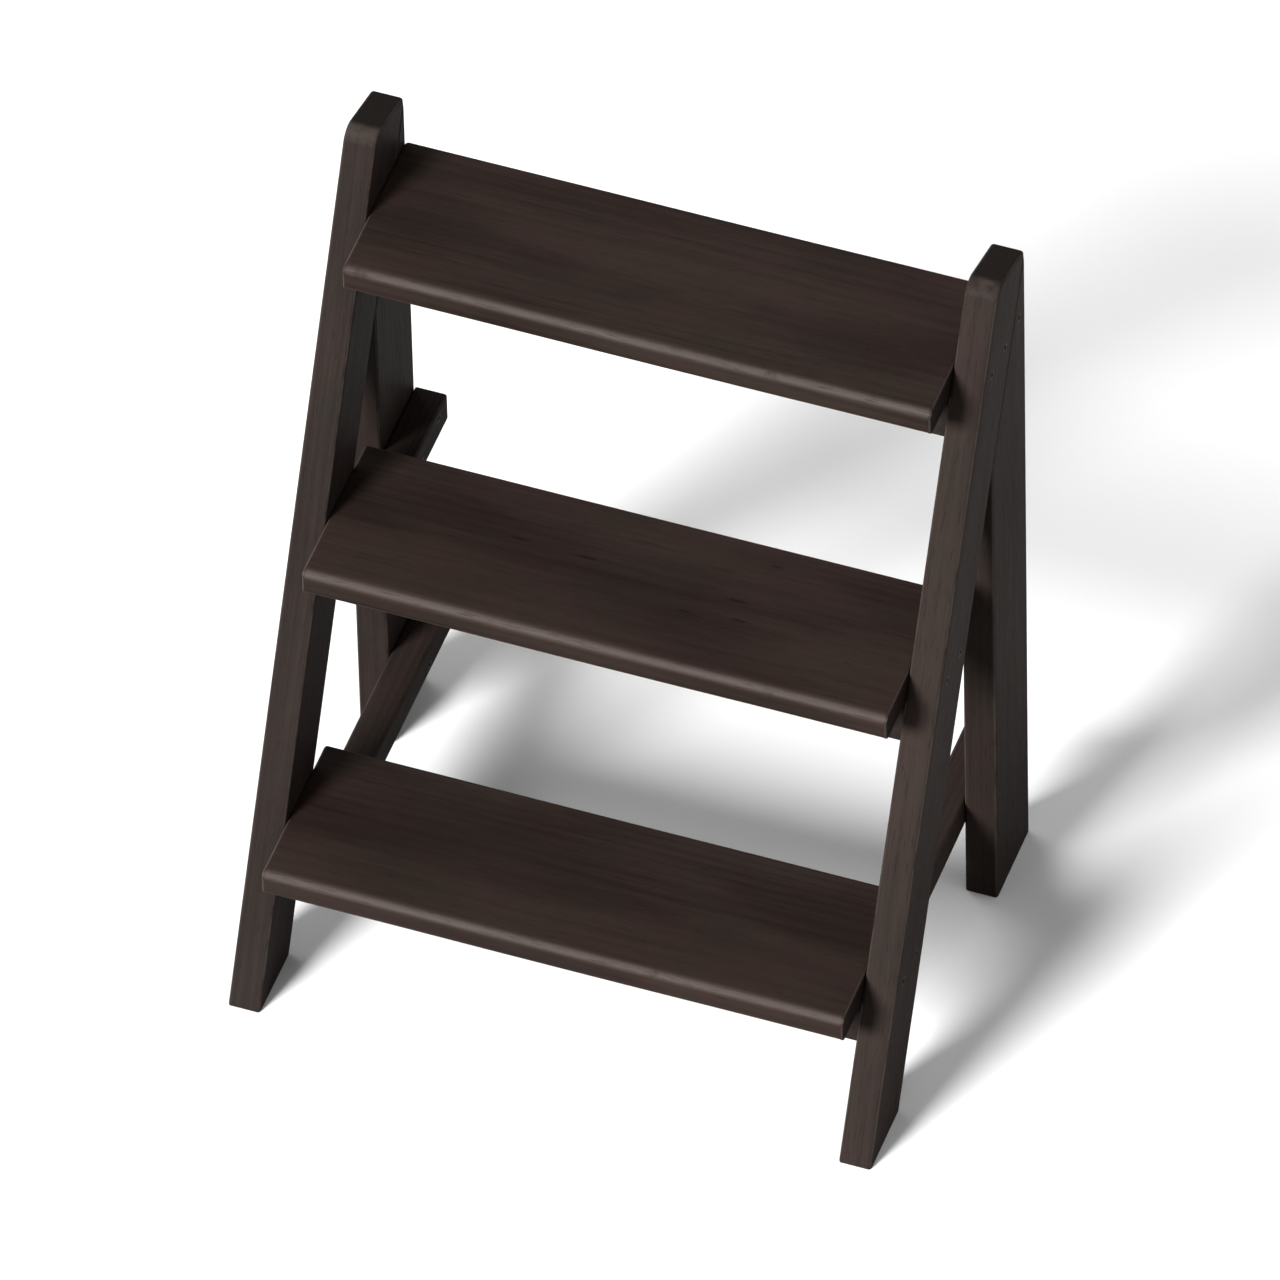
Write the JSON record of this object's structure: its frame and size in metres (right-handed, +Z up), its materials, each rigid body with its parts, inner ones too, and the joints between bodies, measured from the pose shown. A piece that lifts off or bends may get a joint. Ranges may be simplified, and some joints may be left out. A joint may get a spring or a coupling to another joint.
{
  "type": "spa steps",
  "caption": "Free-standing stained-wood steps with raking stiles, upright rear legs and screwed treads, for climbing into a hot tub or raised bath.",
  "frame": {"origin": "on the floor, in the middle of the footprint", "axes": "+X to the right of someone climbing the steps, +Y towards the tub behind them, +Z up"},
  "size_m": [0.554, 0.392, 0.7026],
  "materials": {
    "side_board_wood": "dark walnut stain, satin",
    "rail_wood": "dark walnut stain, satin",
    "tread_wood": "dark walnut stain, worn satin",
    "screw_steel": "bronze-brown coated, satin"
  },
  "bodies": {
    "root": {"left_stile": "side_board_wood", "right_stile": "side_board_wood", "left_rear_leg": "side_board_wood", "right_rear_leg": "side_board_wood", "left_bottom_rail": "rail_wood", "left_middle_rail": "rail_wood", "left_top_rail": "rail_wood", "right_bottom_rail": "rail_wood", "right_middle_rail": "rail_wood", "right_top_rail": "rail_wood", "bottom_tread": "tread_wood", "middle_tread": "tread_wood", "top_tread": "tread_wood", "bottom_tread_screws": "screw_steel", "middle_tread_screws": "screw_steel", "top_tread_screws": "screw_steel", "left_rail_screws": "screw_steel", "right_rail_screws": "screw_steel", "left_leg_screws": "screw_steel", "right_leg_screws": "screw_steel"}
  },
  "joints": []
}
